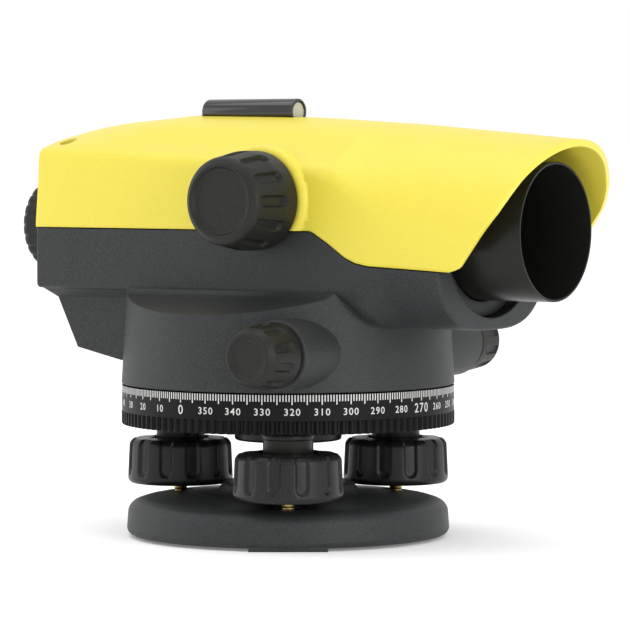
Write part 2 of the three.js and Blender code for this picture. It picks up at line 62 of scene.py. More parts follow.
def axis_offset() -> float:
    """Distance of the vertical axis ahead of the frame's origin, in metres."""
    low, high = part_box("circle_ring")
    return (low.x + high.x) / 2


TO_FRAME = Matrix.Translation((axis_offset(), 0, 0)) @ Matrix.Scale(MM, 4)


class Axis(Enum):
    """The directions that turned parts are made along."""

    X = (1, 0, 0)
    Y = (0, 1, 0)
    Z = (0, 0, 1)

    def stand(self) -> Matrix:
        """Return the turn that lays a part drawn along Z onto this axis."""
        return Vector((0, 0, 1)).rotation_difference(Vector(self.value)).to_matrix().to_4x4()


# ------------------------------------------------------------------ shaping helpers


def smoothstep(value: float, low: float, high: float) -> float:
    """Return 0 below low, 1 above high and a smooth rise between them."""
    t = min(1.0, max(0.0, (value - low) / (high - low)))
    return t * t * (3 - 2 * t)


def along(table: Profile, x: float) -> float:
    """Return the value of a broken line at x.

    Args:
        table: Points (x, value) in rising x.
        x: Where to read the line.

    Returns:
        The interpolated value, carried on past both ends.
    """
    index = 1
    while index < len(table) - 1 and table[index][0] < x:
        index += 1
    (x0, v0), (x1, v1) = table[index - 1], table[index]
    return v0 + (v1 - v0) * (x - x0) / (x1 - x0)


def eased(points: Profile, radius: float, steps: int = 4) -> list[tuple[float, float]]:
    """Return an outline whose inner corners are rounded.

    Args:
        points: The outline's corners.
        radius: How far from each corner the round starts, where the sides are long enough.
        steps: Segments in each round.

    Returns:
        The outline with each corner replaced by a short arc.
    """
    result = [tuple(points[0])]
    for before, here, after in zip(points, points[1:], points[2:]):
        a, b, c = Vector(before), Vector(here), Vector(after)
        reach = min(radius, (a - b).length * 0.45, (c - b).length * 0.45)
        start = b + (a - b).normalized() * reach
        end = b + (c - b).normalized() * reach
        for i in range(steps + 1):
            t = i / steps
            point = start * (1 - t) ** 2 + b * 2 * t * (1 - t) + end * t ** 2
            result.append((point.x, point.y))
    result.append(tuple(points[-1]))
    return result


def dense(points: Profile, step: float) -> list[tuple[float, float]]:
    """Return the outline with long sides split so that no side is longer than step."""
    result = [tuple(points[0])]
    for before, here in zip(points, points[1:]):
        a, b = Vector(before), Vector(here)
        count = max(1, math.ceil((b - a).length / step))
        for i in range(1, count + 1):
            point = a.lerp(b, i / count)
            result.append((point.x, point.y))
    return result


def turned(profile: Profile, steps: int = 96) -> bmesh.types.BMesh:
    """Return a part turned about Z.

    Args:
        profile: (radius, height) points; it starts and ends on the axis, or closes on itself.
        steps: Number of sides round the part.

    Returns:
        The closed mesh, faces outward.
    """
    bm = bmesh.new()
    verts = [bm.verts.new((r, 0, z)) for r, z in profile]
    edges = [bm.edges.new(pair) for pair in zip(verts, verts[1:])]
    bmesh.ops.spin(
        bm, geom=verts + edges, cent=(0, 0, 0), axis=(0, 0, 1), angle=TURN, steps=steps,
        use_merge=True, use_duplicate=False,
    )
    bmesh.ops.remove_doubles(bm, verts=bm.verts, dist=1e-4)
    bmesh.ops.recalc_face_normals(bm, faces=bm.faces)
    return bm


def ring_profile(outer: float, inner: float, low: float, high: float, edge: float = 0.3) -> Profile:
    """Return a closed profile of a tube with broken edges."""
    middle = (low + high) / 2
    corners = [(inner, middle), (inner, low), (outer, low), (outer, high), (inner, high), (inner, middle)]
    return eased(corners, edge, 2)


def patch(columns: int, rows: int, surface: Callable[[float, float], Vector]) -> bmesh.types.BMesh:
    """Return a grid laid on a surface.

    Args:
        columns: Number of faces along u.
        rows: Number of faces along v.
        surface: Gives the place of (u, v), both from 0 to 1.

    Returns:
        The open sheet, with doubled verts merged.
    """
    bm = bmesh.new()
    bmesh.ops.create_grid(bm, x_segments=columns, y_segments=rows, size=0.5)
    for vert in bm.verts:
        vert.co = surface(vert.co.x + 0.5, vert.co.y + 0.5)
    bmesh.ops.remove_doubles(bm, verts=bm.verts, dist=1e-4)
    return bm


def close(bm: bmesh.types.BMesh) -> bmesh.types.BMesh:
    """Fill the open loops of a mesh and point its faces outward."""
    bmesh.ops.holes_fill(bm, edges=[e for e in bm.edges if e.is_boundary], sides=0)
    bmesh.ops.recalc_face_normals(bm, faces=bm.faces)
    return bm


def prism(points: Profile, low: float, high: float) -> bmesh.types.BMesh:
    """Return a side-view outline (x, z) drawn out along Y from low to high."""
    bm = bmesh.new()
    face = bm.faces.new([bm.verts.new((x, low, z)) for x, z in points])
    grown = bmesh.ops.extrude_face_region(bm, geom=[face])["geom"]
    tops = [g for g in grown if isinstance(g, bmesh.types.BMVert)]
    bmesh.ops.translate(bm, verts=tops, vec=(0, high - low, 0))
    bmesh.ops.recalc_face_normals(bm, faces=bm.faces)
    return bm


def block(low: Sequence[float], high: Sequence[float], edge: float = 0.0) -> bmesh.types.BMesh:
    """Return a box between two corners, with its edges rounded by edge."""
    bm = bmesh.new()
    bmesh.ops.create_cube(bm, size=1)
    size = [b - a for a, b in zip(low, high)]
    middle = [(a + b) / 2 for a, b in zip(low, high)]
    bmesh.ops.scale(bm, vec=size, verts=bm.verts)
    bmesh.ops.translate(bm, vec=middle, verts=bm.verts)
    if edge:
        bmesh.ops.bevel(
            bm, geom=list(bm.edges), offset=edge, segments=3, profile=0.5, affect="EDGES", material=-1,
        )
    return bm


def placed(bm: bmesh.types.BMesh, axis: Axis, at: Sequence[float], spin: float = 0.0) -> bmesh.types.BMesh:
    """Lay a mesh drawn along Z onto an axis and move it.

    Args:
        bm: The mesh to move.
        axis: Where its Z goes.
        at: Where its origin goes, in millimetres.
        spin: Turn about its own axis first, in radians.

    Returns:
        The same mesh.
    """
    matrix = Matrix.Translation(at) @ axis.stand() @ Matrix.Rotation(spin, 4, "Z")
    bmesh.ops.transform(bm, matrix=matrix, verts=bm.verts)
    return bm


def joined(parts: Iterable[bmesh.types.BMesh]) -> bmesh.types.BMesh:
    """Return one mesh that holds all the given ones."""
    whole = bmesh.new()
    for part in parts:
        holder = bpy.data.meshes.new("holder")
        part.to_mesh(holder)
        part.free()
        whole.from_mesh(holder)
        bpy.data.meshes.remove(holder)
    return whole


@dataclass
class Flutes:
    """U-shaped finger hollows pressed into a turned grip, open at the far end.

    Attributes:
        count: Number of hollows.
        depth: Depth in millimetres.
        half_width: Half the width of a hollow.
        closed_at: Height of the centre of the round closed end.
        soft: Width of the rounded edge.
        phase: Angle of the first hollow.
        inner_radius: Nothing nearer the axis than this is moved.
        ends_at: Height of the centre of the other round end; far off for hollows that are open.
    """

    count: int
    depth: float
    half_width: float
    closed_at: float
    soft: float = 0.7
    phase: float = 0.0
    inner_radius: float = 0.0
    ends_at: float = 1000.0

    def press(self, bm: bmesh.types.BMesh) -> None:
        """Move the verts of a grip drawn along Z inward where the hollows are."""
        pitch = TURN / self.count
        for vert in bm.verts:
            x, y, z = vert.co
            radius = math.hypot(x, y)
            if radius <= self.inner_radius:
                continue
            angle = math.atan2(y, x) - self.phase
            across = radius * ((angle + pitch / 2) % pitch - pitch / 2)
            below = max(0.0, self.closed_at - z, z - self.ends_at)
            reach = math.hypot(across, below)
            amount = 1 - smoothstep(reach, self.half_width - self.soft, self.half_width)
            scale = (radius - self.depth * amount) / radius
            vert.co.x, vert.co.y = x * scale, y * scale


def shown(name: str, bm: bmesh.types.BMesh, sharp_above: float = 32.0) -> bpy.types.Object:
    """Make an object of a mesh drawn in millimetres about the vertical axis.

    Args:
        name: The object's name.
        bm: The mesh, which is freed.
        sharp_above: Edges steeper than this many degrees stay sharp.

    Returns:
        The new object, at the origin, with its place in its mesh.
    """
    mesh = bpy.data.meshes.new(name)
    bmesh.ops.transform(bm, matrix=TO_FRAME, verts=bm.verts)
    bm.to_mesh(mesh)
    bm.free()
    for polygon in mesh.polygons:
        polygon.use_smooth = True
    mesh.set_sharp_from_angle(angle=math.radians(sharp_above))
    piece = bpy.data.objects.new(name, mesh)
    bpy.context.scene.collection.objects.link(piece)
    return piece


def carve(piece: bpy.types.Object, tools: Sequence[tuple[str, bmesh.types.BMesh]]) -> None:
    """Join solids to a piece or cut them from it.

    Args:
        piece: The object to change.
        tools: Pairs of "UNION", "DIFFERENCE" or "INTERSECT" and a closed mesh in millimetres.
    """
    helpers = []
    for index, (operation, bm) in enumerate(tools):
        helper = shown(f"tool_{index}", bm)
        helpers.append(helper)
        modifier = piece.modifiers.new(f"carve_{index}", "BOOLEAN")
        modifier.operation = operation
        modifier.solver = "EXACT"
        modifier.object = helper
    bpy.context.view_layer.update()
    result = bpy.data.meshes.new_from_object(piece.evaluated_get(bpy.context.evaluated_depsgraph_get()))
    piece.modifiers.clear()
    piece.data = result
    for helper in helpers:
        bpy.data.objects.remove(helper)
    resmooth(piece)


def reclaimed(piece: bpy.types.Object) -> bmesh.types.BMesh:
    """Turn a helper object back into a mesh in millimetres and remove the object."""
    bm = bmesh.new()
    bm.from_mesh(piece.data)
    bmesh.ops.transform(bm, matrix=TO_FRAME.inverted(), verts=bm.verts)
    bpy.data.objects.remove(piece)
    return bm


def resmooth(piece: bpy.types.Object, sharp_above: float = 32.0) -> None:
    """Shade a piece smooth with edges above an angle kept sharp."""
    for polygon in piece.data.polygons:
        polygon.use_smooth = True
    piece.data.set_sharp_from_angle(angle=math.radians(sharp_above))


def soften(piece: bpy.types.Object, width: float, segments: int = 3, angle: float = 38.0) -> None:
    """Round the sharp edges of a piece with a live bevel, width in millimetres."""
    bevel = piece.modifiers.new("rounded_edges", "BEVEL")
    bevel.width = width * MM
    bevel.segments = segments
    bevel.limit_method = "ANGLE"
    bevel.angle_limit = math.radians(angle)
    bevel.harden_normals = True


# ------------------------------------------------------------------ finishes


@dataclass(frozen=True)
class Finish:
    """A moulded, cast or machined surface.

    Attributes:
        color: Linear base colour.
        tint: Second colour that the fine pattern mixes in.
        roughness: Middle roughness.
        spread: How far the roughness wanders either way.
        grain: Size of the surface grain in millimetres.
        bump: Height of the grain in millimetres.
        metallic: 0 for plastics and lacquer, 1 for bare metal.
        coat: Weight of a clear gloss layer.
        specular: Reflection level of the surface.
        edge: Radius of the rounding given to the shading of hard edges, in millimetres.
    """

    color: tuple[float, float, float]
    tint: tuple[float, float, float]
    roughness: float = 0.5
    spread: float = 0.06
    grain: float = 0.5
    bump: float = 0.01
    metallic: float = 0.0
    coat: float = 0.0
    specular: float = 0.5
    edge: float = 0.0

    def material(self, name: str) -> bpy.types.Material:
        """Build the node material.

        Args:
            name: The material's name.

        Returns:
            The material, patterned on Object coordinates.
        """
        made = bpy.data.materials.new(name)
        made.use_nodes = True
        nodes, links = made.node_tree.nodes, made.node_tree.links
        shader = nodes["Principled BSDF"]
        shader.inputs["Metallic"].default_value = self.metallic
        shader.inputs["Coat Weight"].default_value = self.coat
        shader.inputs["Coat Roughness"].default_value = 0.12
        shader.inputs["Specular IOR Level"].default_value = self.specular
        place = nodes.new("ShaderNodeTexCoord")

        def noise(size: float, detail: float) -> bpy.types.Node:
            """Return a noise of that feature size in millimetres."""
            node = nodes.new("ShaderNodeTexNoise")
            node.inputs["Scale"].default_value = 1 / (size * MM)
            node.inputs["Detail"].default_value = detail
            links.new(place.outputs["Object"], node.inputs["Vector"])
            return node

        fine, broad = noise(self.grain, 3.0), noise(14.0, 2.0)
        mix = nodes.new("ShaderNodeMix")
        mix.data_type = "RGBA"
        mix.inputs["A"].default_value = (*self.color, 1)
        mix.inputs["B"].default_value = (*self.tint, 1)
        contrast = nodes.new("ShaderNodeMapRange")
        contrast.inputs["From Min"].default_value = 0.42
        contrast.inputs["From Max"].default_value = 0.72
        links.new(fine.outputs["Fac"], contrast.inputs["Value"])
        links.new(contrast.outputs["Result"], mix.inputs["Factor"])
        links.new(mix.outputs["Result"], shader.inputs["Base Color"])
        wander = nodes.new("ShaderNodeMapRange")
        wander.inputs["To Min"].default_value = self.roughness - self.spread
        wander.inputs["To Max"].default_value = self.roughness + self.spread
        links.new(broad.outputs["Fac"], wander.inputs["Value"])
        links.new(wander.outputs["Result"], shader.inputs["Roughness"])
        bump = nodes.new("ShaderNodeBump")
        bump.inputs["Distance"].default_value = self.bump * MM
        bump.inputs["Strength"].default_value = 1.0
        links.new(fine.outputs["Fac"], bump.inputs["Height"])
        if self.edge:
            rounding = nodes.new("ShaderNodeBevel")
            rounding.samples = 6
            rounding.inputs["Radius"].default_value = self.edge * MM
            links.new(rounding.outputs["Normal"], bump.inputs["Normal"])
        links.new(bump.outputs["Normal"], shader.inputs["Normal"])
        return made


@dataclass(frozen=True)
class Glass:
    """A polished lens or prism.

    Attributes:
        color: Tint of the glass.
        roughness: Polish.
        transmission: Share of light let through.
    """

    color: tuple[float, float, float]
    roughness: float = 0.03
    transmission: float = 1.0

    def material(self, name: str) -> bpy.types.Material:
        """Build the node material with faint dust in its polish."""
        made = bpy.data.materials.new(name)
        made.use_nodes = True
        nodes, links = made.node_tree.nodes, made.node_tree.links
        shader = nodes["Principled BSDF"]
        shader.inputs["Base Color"].default_value = (*self.color, 1)
        shader.inputs["Transmission Weight"].default_value = self.transmission
        shader.inputs["IOR"].default_value = 1.52
        place = nodes.new("ShaderNodeTexCoord")
        dust = nodes.new("ShaderNodeTexNoise")
        dust.inputs["Scale"].default_value = 900
        links.new(place.outputs["Object"], dust.inputs["Vector"])
        wander = nodes.new("ShaderNodeMapRange")
        wander.inputs["To Min"].default_value = self.roughness
        wander.inputs["To Max"].default_value = self.roughness + 0.08
        links.new(dust.outputs["Fac"], wander.inputs["Value"])
        links.new(wander.outputs["Result"], shader.inputs["Roughness"])
        return made


class Surface(Enum):
    """Every finish on the instrument."""

    COVER_PLASTIC = "cover_plastic"
    BODY_CASTING = "body_casting"
    BASE_CASTING = "base_casting"
    KNOB_PLASTIC = "knob_plastic"
    GRIP_RUBBER = "grip_rubber"
    CIRCLE_PLASTIC = "circle_plastic"
    SCALE_PAINT = "scale_paint"
    BLACK_METAL = "black_metal"
    SIGHT_PLASTIC = "sight_plastic"
    BRASS = "brass"
    STEEL = "steel"
    GLASS = "glass"
    # Sight lenses: an opaque pale colour painted in place of the reflection seen in their glass.
    LENS_CAP = "sight_lens"
    PRISM_GLASS = "prism_glass"
    MIRROR = "mirror"


FINISHES: dict[Surface, Finish | Glass] = {
    Surface.COVER_PLASTIC: Finish((0.725, 0.612, 0.055), (0.705, 0.588, 0.05), 0.4, 0.03, 0.9, 0.002),
    Surface.BODY_CASTING: Finish(
        (0.019, 0.0207, 0.0215), (0.036, 0.039, 0.0405), 0.52, 0.05, 0.42, 0.04, specular=0.3, edge=0.8),
    Surface.BASE_CASTING: Finish(
        (0.019, 0.0207, 0.0215), (0.036, 0.039, 0.0405), 0.52, 0.05, 0.42, 0.04, specular=0.3, edge=0.7),
    Surface.KNOB_PLASTIC: Finish((0.0085, 0.009, 0.009), (0.0135, 0.0143, 0.0143), 0.34, 0.06, 0.7, 0.006, specular=0.26),
    Surface.GRIP_RUBBER: Finish((0.012, 0.0128, 0.0108), (0.019, 0.02, 0.0175), 0.46, 0.07, 0.5, 0.014, specular=0.22),
    Surface.CIRCLE_PLASTIC: Finish((0.0045, 0.0045, 0.0045), (0.007, 0.007, 0.007), 0.45, 0.05, 0.6, 0.004, specular=0.12),
    Surface.SCALE_PAINT: Finish((0.62, 0.63, 0.61), (0.52, 0.53, 0.51), 0.6, 0.05, 0.3, 0.002),
    Surface.BLACK_METAL: Finish((0.0085, 0.0085, 0.0075), (0.011, 0.011, 0.01), 0.3, 0.03, 1.2, 0.0006, specular=0.22),
    Surface.SIGHT_PLASTIC: Finish((0.006, 0.0063, 0.007), (0.008, 0.0085, 0.0095), 0.1, 0.03, 2.0, 0.001, specular=0.7),
    Surface.BRASS: Finish((0.62, 0.45, 0.17), (0.5, 0.35, 0.12), 0.32, 0.08, 0.25, 0.003, 1.0),
    Surface.STEEL: Finish((0.5, 0.51, 0.53), (0.4, 0.41, 0.43), 0.34, 0.08, 0.25, 0.003, 1.0),
    Surface.GLASS: Glass((0.75, 0.86, 0.84)),
    # Pale grey with a yellow cast: painted reflection standing in for the light seen in the sight lenses' glass.
    Surface.LENS_CAP: Finish((0.45, 0.45, 0.36), (0.38, 0.38, 0.31), 0.3, 0.05, 0.8, 0.002),
    Surface.PRISM_GLASS: Glass((0.8, 0.88, 0.9)),
    Surface.MIRROR: Finish((0.85, 0.86, 0.88), (0.8, 0.81, 0.83), 0.06, 0.03, 1.0, 0.0005, 1.0),
}


class Workshop:
    """Dresses finished pieces and ties them to the frame."""

    def __init__(self) -> None:
        """Make every material once."""
        self.materials = {surface: FINISHES[surface].material(surface.value) for surface in Surface}

    def dress(self, piece: bpy.types.Object, surface: Surface) -> bpy.types.Object:
        """Give a piece one finish."""
        piece.data.materials.clear()
        piece.data.materials.append(self.materials[surface])
        return piece

    def fit(self, piece: bpy.types.Object, surface: Surface, body: str, *nodes: str) -> bpy.types.Object:
        """Dress a piece, let it ride and hide the solids that it stands for.

        Args:
            piece: The finished object.
            surface: Its finish.
            body: The moving body that carries it.
            nodes: The plain solids that it replaces.

        Returns:
            The piece.
        """
        self.dress(piece, surface)
        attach(piece, body)
        if nodes:
            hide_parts(*nodes)
        LOG.info("%s: %d faces, on %s", piece.name, len(piece.data.polygons), body)
        return piece

    def keep(self, surface: Surface, *nodes: str) -> None:
        """Give carried-over solids a better finish."""
        for node in nodes:
            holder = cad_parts[node]
            if not holder.material_slots:
                holder.data.materials.append(None)
            for slot in holder.material_slots:
                slot.link = "OBJECT"
                slot.material = self.materials[surface]


# ------------------------------------------------------------------ base and foot screws


@dataclass
class LevellingBase:
    """The round base plate with its three pads, hub and screw wells."""

    radius: float = 47.3
    top_radius: float = 46.2
    pad: float = 0.8
    top: float = 12.6
    hub_radius: float = 20.0
    hub_top: float = 16.0
    well_radius: float = 4.2
    foot_circle: float = 37.3
    foot_angles: tuple[float, float, float] = (-54.8, 65.2, 185.2)

    def plate(self) -> bmesh.types.BMesh:
        """Return the turned plate with a through well in the middle."""
        profile = [
            (11.3, self.pad), (self.radius - 0.7, self.pad), (self.radius + 0.25, self.pad + 1.3),
            (self.radius + 0.1, self.pad + 3.0), (self.top_radius + 0.9, self.top - 4.2),
            (self.top_radius - 0.6, self.top - 2.4), (self.top_radius - 4.0, self.top - 1.3),
            (self.hub_radius + 2.6, self.top), (self.hub_radius + 0.6, self.top + 1.0),
            (self.hub_radius - 0.9, self.hub_top), (11.3, self.hub_top), (11.3, 8), (11.3, self.pad),
        ]
        return turned(eased(profile, 1.1, 5), 180)

    def build(self, shop: Workshop) -> None:
        """Build and dress the base."""
        piece = shown("base_plate_body", self.plate())
        tools = []
        for angle in self.foot_angles:
            turn = math.radians(angle)
            pad_bm = block((40.5, -11.3, 0.0), (46.6, 11.3, self.pad + 0.6), 0.25)
            bmesh.ops.rotate(pad_bm, verts=pad_bm.verts, cent=(0, 0, 0), matrix=Matrix.Rotation(turn, 3, "Z"))
            tools.append(("UNION", pad_bm))
            at = (self.foot_circle * math.cos(turn), self.foot_circle * math.sin(turn), 0)
            well = turned([(0, 3.3), (self.well_radius, 3.3), (self.well_radius, 30), (0, 30)], 48)
            tools.append(("DIFFERENCE", placed(well, Axis.Z, at)))
        tools.append(("DIFFERENCE", turned(
            [(14.5, 4), (14.5, -1), (31, -1), (31, 5), (14.5, 5), (14.5, 4)], 96)))
        carve(piece, tools)
        soften(piece, 0.35, 2, 45)
        shop.fit(piece, Surface.BASE_CASTING, "base", "base_plate")
        bush = turned(eased([(7.1, 8), (7.1, 1.2), (11, 1.2), (11, 15.6), (7.1, 15.6), (7.1, 8)], 0.5, 3), 96)
        shop.fit(shown("tripod_bush", bush), Surface.BRASS, "base", "tripod_thread_bush")


@dataclass
class FootScrew:
    """One foot screw: knob, neck bush and brass spindle."""

    number: int
    angle: float
    circle: float = 37.3
    low: float = 13.9
    high: float = 27.55
    low_radius: float = 15.75
    top_radius: float = 14.9
    neck: float = 7.2

    def at(self) -> tuple[float, float, float]:
        """Return the place of the screw's axis."""
        turn = math.radians(self.angle)
        return (self.circle * math.cos(turn), self.circle * math.sin(turn), 0)

    def knob(self) -> bmesh.types.BMesh:
        """Return the knob with twelve finger hollows, open at the top."""
        corners = [
            (3.3, 20.4), (3.3, self.low), (self.low_radius - 0.9, self.low), (self.low_radius, self.low + 1.1),
            (self.top_radius + 0.35, self.high - 1.7), (self.top_radius - 0.8, self.high - 0.3), (10.0, self.high),
            (8.9, self.high - 0.7), (8.9, 20.4), (3.3, 20.4),
        ]
        bm = turned(dense(eased(corners, 0.7, 4), 0.6), 264)
        Flutes(12, 0.85, 2.1, self.low + 4.4, 0.6, math.radians(15), 9.4).press(bm)
        return bm

    def build(self, shop: Workshop) -> None:
        """Build and dress the screw."""
        n, spin = self.number, math.radians(self.angle)
        knob = shown(f"foot_knob_{n}_grip", placed(self.knob(), Axis.Z, self.at(), spin), 48)
        shop.fit(knob, Surface.KNOB_PLASTIC, f"foot_screw_{n}", f"foot_knob_{n}")
        neck = [
            (3.3, 30), (3.3, 23.2), (self.neck - 0.5, 23.2), (self.neck, 23.7), (self.neck, 31.2),
            (self.neck + 0.25, 31.4), (self.neck + 0.25, 32.8), (5.4, 32.8), (5.4, 38.6), (3.3, 38.6), (3.3, 30),
        ]
        bush = shown(f"foot_neck_{n}", placed(turned(eased(neck, 0.25, 2), 72), Axis.Z, self.at()))
        shop.fit(bush, Surface.BLACK_METAL, "tribrach", f"foot_bush_{n}")
        shaft = [
            (0, 5.6), (1.6, 5.8), (2.5, 6.8), (2.5, 7.8), (1.9, 9.2), (1.9, 11.2), (1.7, 11.4), (1.7, 11.9),
            (1.9, 12.1), (1.9, 14.1), (3.0, 14.8), (3.0, 36.6), (2.4, 37.2), (0, 37.2),
        ]
        spindle = shown(f"foot_spindle_{n}_brass", placed(turned(eased(shaft, 0.3, 2), 48), Axis.Z, self.at()))
        shop.fit(spindle, Surface.BRASS, f"foot_screw_{n}", f"foot_spindle_{n}")


# ------------------------------------------------------------------ tribrach and circle


@dataclass
class Tribrach:
    """The dark plate that carries the foot screws and the vertical axis."""

    hub: float = 15.8
    hub_bottom: float = 28.15
    bottom: float = 33.9
    radius: float = 43.9
    top: float = 39.0

    def build(self, shop: Workshop) -> None:
        """Build and dress the tribrach."""
        profile = [
            (0, self.hub_bottom), (self.hub, self.hub_bottom), (self.hub, self.bottom), (self.radius, self.bottom),
            (self.radius, self.top), (13, self.top), (13, 44), (10.3, 44), (10.3, 30.5), (0, 30.5),
        ]
        piece = shown("tribrach_plate", turned(eased(profile, 1.0, 4), 144))
        tools = []
        for angle in LevellingBase().foot_angles:
            eye = turned([(0, 28), (5.7, 28), (5.7, 45), (0, 45)], 48)
            tools.append(("DIFFERENCE", placed(eye, Axis.Z, FootScrew(0, angle).at())))
        carve(piece, tools)
        shop.fit(piece, Surface.BLACK_METAL, "tribrach", "tribrach_body")


@dataclass
class GraduatedCircle:
    """The loose horizontal circle: toothed edge, degree lines and numbers every ten degrees."""

    radius: float = 49.0
    inner: float = 44.4
    low: float = 33.2
    high: float = 44.7
    grip_top: float = 37.0
    teeth: int = 120
    zero_at: float = -93.5
    line_lengths: tuple[float, float] = (2.0, 2.9)
    figure_height: float = 39.65
    figure_size: float = 2.8
    proud: float = 0.035

    def ring(self) -> bmesh.types.BMesh:
        """Return the ring with shallow teeth round its lower edge."""
        corners = [
            (self.inner, 39), (self.inner, self.low), (self.radius - 0.3, self.low), (self.radius, self.low + 0.3),
            (self.radius, self.grip_top), (self.radius - 0.12, self.grip_top + 0.15), (self.radius - 0.12, self.high - 0.1),
            (self.radius - 0.3, self.high), (self.inner, self.high), (self.inner, 39),
        ]
        bm = turned(dense(corners, 1.1), self.teeth * 8)
        pitch = TURN / self.teeth
        for vert in bm.verts:
            radius = math.hypot(vert.co.x, vert.co.y)
            if vert.co.z < self.grip_top + 0.05 and radius > self.radius - 0.5:
                phase = (math.atan2(vert.co.y, vert.co.x) / pitch) % 1.0
                depth = 0.85 * (1 - smoothstep(abs(phase - 0.5), 0.2, 0.3))
                vert.co.x *= (radius - depth) / radius
                vert.co.y *= (radius - depth) / radius
        return bm

    def wrapped(self, bm: bmesh.types.BMesh, angle: float, height: float) -> bmesh.types.BMesh:
        """Wrap a flat mark (x along, y up, z out) onto the ring at an angle in degrees."""
        face = self.radius - 0.12
        for vert in bm.verts:
            x, y, z = vert.co
            turn = math.radians(angle) + x / face
            vert.co = ((face + z) * math.cos(turn), (face + z) * math.sin(turn), height + y)
        return bm

    def line(self, degree: int) -> bmesh.types.BMesh:
        """Return one graduation line that hangs from the top edge."""
        length = self.line_lengths[1] if degree % 5 == 0 else self.line_lengths[0]
        half = 0.17
        bm = block((-half, -length, -0.05), (half, -0.12, self.proud))
        return self.wrapped(bm, self.zero_at - degree, self.high)

    def figure(self, degree: int) -> bmesh.types.BMesh:
        """Return the number of a graduation as a thin raised mark."""
        curve = bpy.data.curves.new("figure", "FONT")
        curve.body = str(degree)
        curve.size = self.figure_size * (1.34 if degree % 90 == 0 else 1.0)
        curve.align_x = "CENTER"
        curve.align_y = "CENTER"
        curve.extrude = self.proud
        curve.offset = 0.02
        curve.resolution_u = 3
        curve.space_character = 1.2
        holder = bpy.data.objects.new("figure", curve)
        bpy.context.scene.collection.objects.link(holder)
        bpy.context.view_layer.update()
        mesh = bpy.data.meshes.new_from_object(holder.evaluated_get(bpy.context.evaluated_depsgraph_get()))
        bm = bmesh.new()
        bm.from_mesh(mesh)
        bpy.data.meshes.remove(mesh)
        bpy.data.objects.remove(holder)
        bpy.data.curves.remove(curve)
        return self.wrapped(bm, self.zero_at - degree, self.figure_height)

    def build(self, shop: Workshop) -> None:
        """Build and dress the circle."""
        ring = shown("circle_body", self.ring())
        shop.fit(ring, Surface.CIRCLE_PLASTIC, "circle", "circle_ring")
        marks = [self.line(degree) for degree in range(360)]
        marks += [self.figure(degree) for degree in range(0, 360, 10)]
        scale = shown("circle_graduation", joined(marks))
        shop.fit(scale, Surface.SCALE_PAINT, "circle")


# ------------------------------------------------------------------ turning body


